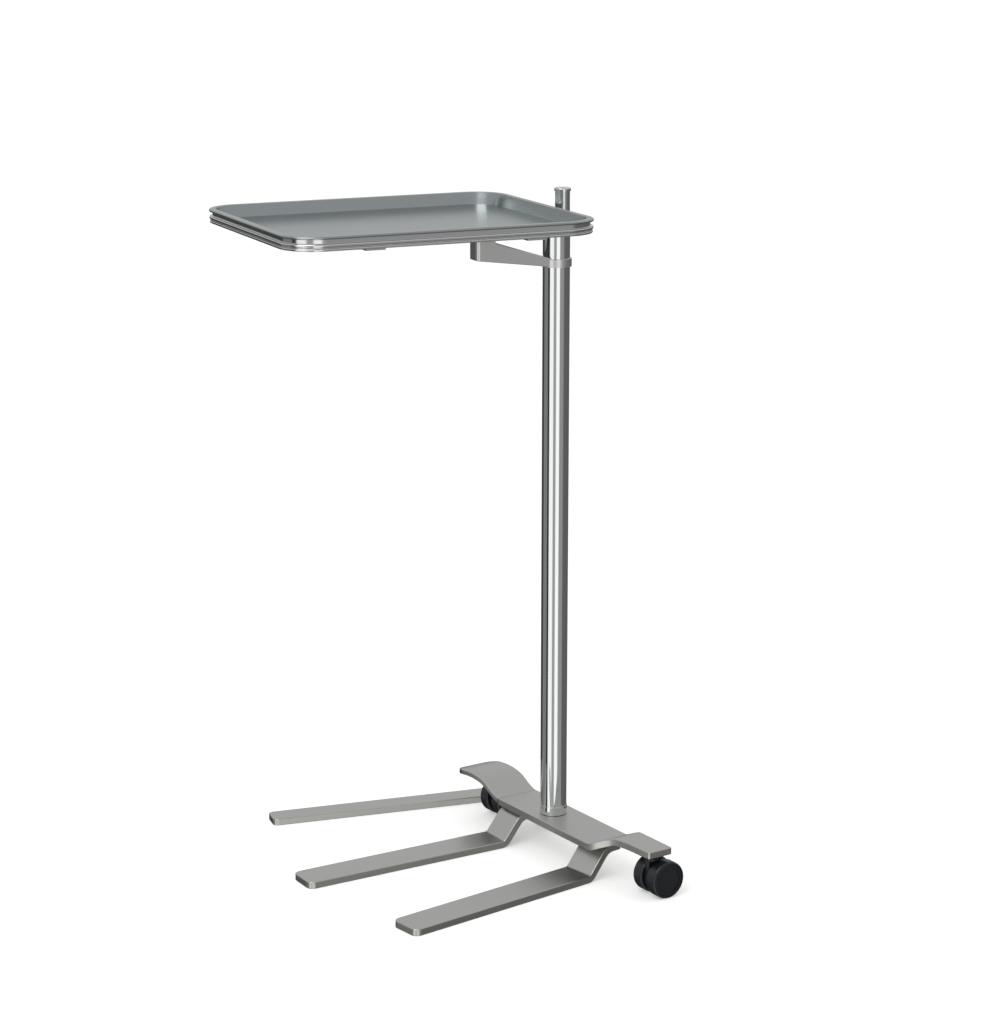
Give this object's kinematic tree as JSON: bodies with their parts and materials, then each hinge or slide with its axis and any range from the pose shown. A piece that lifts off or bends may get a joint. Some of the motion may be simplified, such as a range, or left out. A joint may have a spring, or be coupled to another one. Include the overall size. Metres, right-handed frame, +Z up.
{
  "type": "mayo instrument stand",
  "caption": "Foot-operated instrument stand: a drop-in steel tray on an offset sliding column over a flat-bar base with floor legs, foot pedal and casters.",
  "frame": {"origin": "centre of the footprint, on the floor", "axes": "+Z up; +X along the crossbar towards the end with the stepped tab, the foot pedal is at -X; -Y towards the floor legs and the tray"},
  "size_m": [0.6889, 0.6661, 1.126],
  "materials": {
    "polished_tube": "polished stainless steel",
    "satin_bar": "satin stainless flat bar",
    "satin_tray": "satin stainless sheet",
    "frame_steel": "bright stainless steel",
    "arm_casting": "polished casting",
    "post_steel": "satin square tube",
    "zinc_parts": "bright zinc plating",
    "plug_aluminium": "turned",
    "slide_nylon": "moulded nylon",
    "gas_spring_black": "black enamel",
    "rod_chrome": "hard chrome",
    "caster_plastic": "moulded black nylon",
    "caster_tread": "black polyurethane tread"
  },
  "bodies": {
    "base": {"crossbar": "satin_bar", "middle_leg": "satin_bar", "near_leg": "satin_bar", "outer_leg": "satin_bar", "caster_arm": "satin_bar", "base_screws": "zinc_parts", "square_post": "post_steel", "foot_plug": "plug_aluminium", "foot_screws": "zinc_parts", "post_guide": "slide_nylon", "gas_rod": "rod_chrome", "gas_piston": "rod_chrome", "hinge_bracket": "zinc_parts", "hinge_pin": "zinc_parts", "left_caster_stem": "zinc_parts", "right_caster_stem": "zinc_parts"},
    "column": {"lift_tube": "polished_tube", "tube_end_ring": "polished_tube", "guide_shoes": "slide_nylon", "top_plug": "plug_aluminium", "gas_cylinder": "gas_spring_black", "hanger_rod": "gas_spring_black", "tray_arm": "arm_casting", "tray_saddle": "frame_steel", "saddle_screws": "zinc_parts", "frame_spine": "frame_steel", "frame_straps": "frame_steel", "frame_ring": "frame_steel", "hand_post": "polished_tube", "hand_post_cap": "polished_tube"},
    "tray": {"tray": "satin_tray"},
    "pedal": {"foot_pedal": "satin_bar", "pedal_lever": "zinc_parts"},
    "release": {"release_pin": "zinc_parts"},
    "left_caster": {"left_caster_body": "caster_plastic", "left_caster_axle": "zinc_parts"},
    "left_inner_wheel": {"left_inner_wheel": "caster_plastic", "left_inner_tyre": "caster_tread"},
    "left_outer_wheel": {"left_outer_wheel": "caster_plastic", "left_outer_tyre": "caster_tread"},
    "right_caster": {"right_caster_body": "caster_plastic", "right_caster_axle": "zinc_parts"},
    "right_inner_wheel": {"right_inner_wheel": "caster_plastic", "right_inner_tyre": "caster_tread"},
    "right_outer_wheel": {"right_outer_wheel": "caster_plastic", "right_outer_tyre": "caster_tread"}
  },
  "joints": [
    {"name": "column_lift", "type": "slide", "parent": "base", "child": "column", "axis": [0, 0, 1], "range_m": [0, 0.42]},
    {"name": "tray_lift_off", "type": "slide", "parent": "column", "child": "tray", "axis": [0, 0, 1], "range_m": [0, 0.06]},
    {"name": "pedal_press", "type": "hinge", "parent": "base", "child": "pedal", "pos_m": [-0.0665, 0.2171, 0.047], "axis": [0, -1, 0], "range_deg": [0, 5], "stiffness_Nm_per_rad": 60, "springref_deg": -1.15},
    {"name": "release_rise", "type": "slide", "parent": "base", "child": "release", "axis": [0, 0, 1], "range_m": [0, 0.011]},
    {"name": "left_caster_swivel", "type": "hinge", "parent": "base", "child": "left_caster", "pos_m": [-0.1355, 0.2301, 0.06], "axis": [0, 0, 1], "continuous": true},
    {"name": "left_inner_wheel_roll", "type": "hinge", "parent": "left_caster", "child": "left_inner_wheel", "pos_m": [-0.1355, 0.2451, 0.031], "axis": [1, 0, 0], "continuous": true},
    {"name": "left_outer_wheel_roll", "type": "hinge", "parent": "left_caster", "child": "left_outer_wheel", "pos_m": [-0.1355, 0.2451, 0.031], "axis": [1, 0, 0], "continuous": true},
    {"name": "right_caster_swivel", "type": "hinge", "parent": "base", "child": "right_caster", "pos_m": [0.316, 0.2301, 0.06], "axis": [0, 0, 1], "continuous": true},
    {"name": "right_inner_wheel_roll", "type": "hinge", "parent": "right_caster", "child": "right_inner_wheel", "pos_m": [0.316, 0.2451, 0.031], "axis": [1, 0, 0], "continuous": true},
    {"name": "right_outer_wheel_roll", "type": "hinge", "parent": "right_caster", "child": "right_outer_wheel", "pos_m": [0.316, 0.2451, 0.031], "axis": [1, 0, 0], "continuous": true}
  ],
  "couplings": [
    {"joint": "release_rise", "follows": "pedal_press", "m_per_rad": 0.124}
  ]
}
